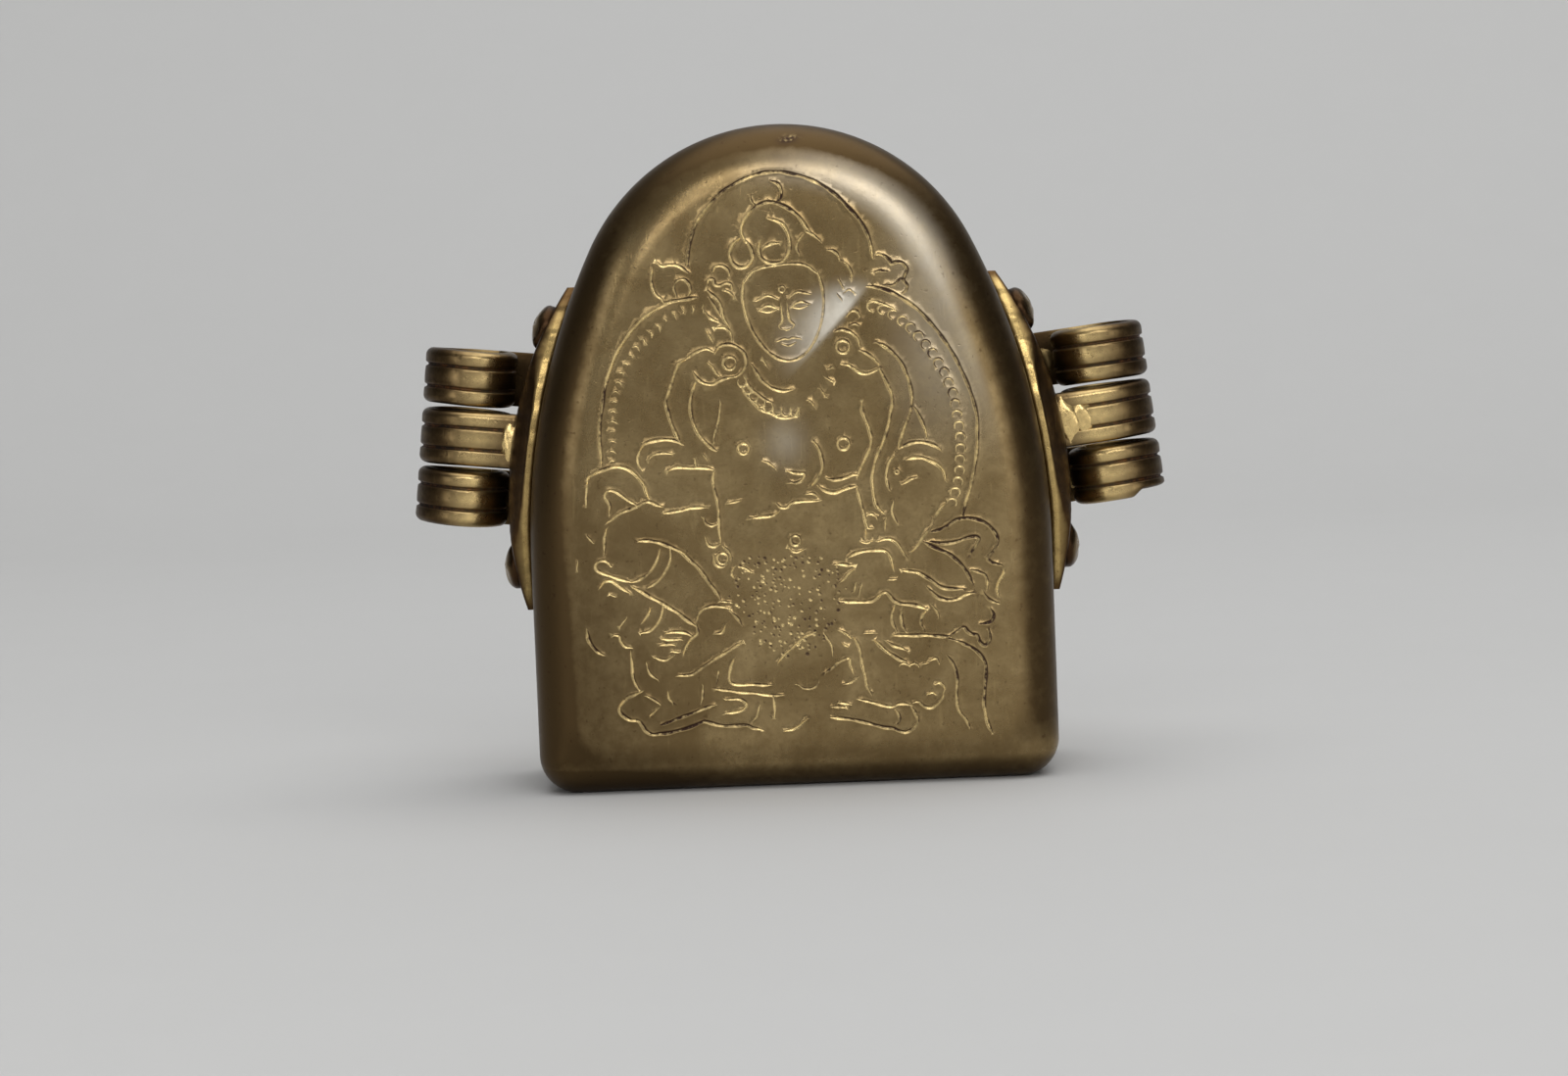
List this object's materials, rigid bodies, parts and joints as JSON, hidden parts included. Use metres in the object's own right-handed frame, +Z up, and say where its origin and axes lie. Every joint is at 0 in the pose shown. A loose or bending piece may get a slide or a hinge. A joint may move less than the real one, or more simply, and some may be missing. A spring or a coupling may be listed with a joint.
{
  "type": "amulet box",
  "caption": "Arch-topped brass amulet box with an engraved, crowned front cover that pulls forward off a shallow rear tray, and ribbed cord loops on both sides.",
  "frame": {"origin": "on the ground, under the middle of the closed box", "axes": "+Z up, -Y out of the engraved face, +X to the viewer's right when facing it"},
  "size_m": [0.0722, 0.023, 0.062],
  "materials": {
    "cover_brass": "aged, satin",
    "tray_brass": "aged, satin",
    "leaf_brass": "filed and worn",
    "loop_brass": "aged, worn on the ribs",
    "rivet_copper": "coppery, worn"
  },
  "bodies": {
    "tray": {"tray_wall": "tray_brass", "tray_back_plate": "tray_brass", "tray_collar": "tray_brass", "tray_half_leaf_left": "leaf_brass", "tray_half_leaf_right": "leaf_brass", "tray_loop_upper_left": "loop_brass", "tray_loop_upper_right": "loop_brass", "tray_loop_lower_left": "loop_brass", "tray_loop_lower_right": "loop_brass"},
    "cover": {"cover_shell": "cover_brass", "cover_leaf_left": "leaf_brass", "cover_leaf_right": "leaf_brass", "cover_loop_left": "loop_brass", "cover_loop_right": "loop_brass", "leaf_rivet_upper_left": "rivet_copper", "leaf_rivet_upper_right": "rivet_copper", "leaf_rivet_lower_left": "rivet_copper", "leaf_rivet_lower_right": "rivet_copper"}
  },
  "joints": [
    {"name": "cover_pull", "type": "slide", "parent": "tray", "child": "cover", "axis": [0, -1, 0], "range_m": [0, 0.03]}
  ]
}
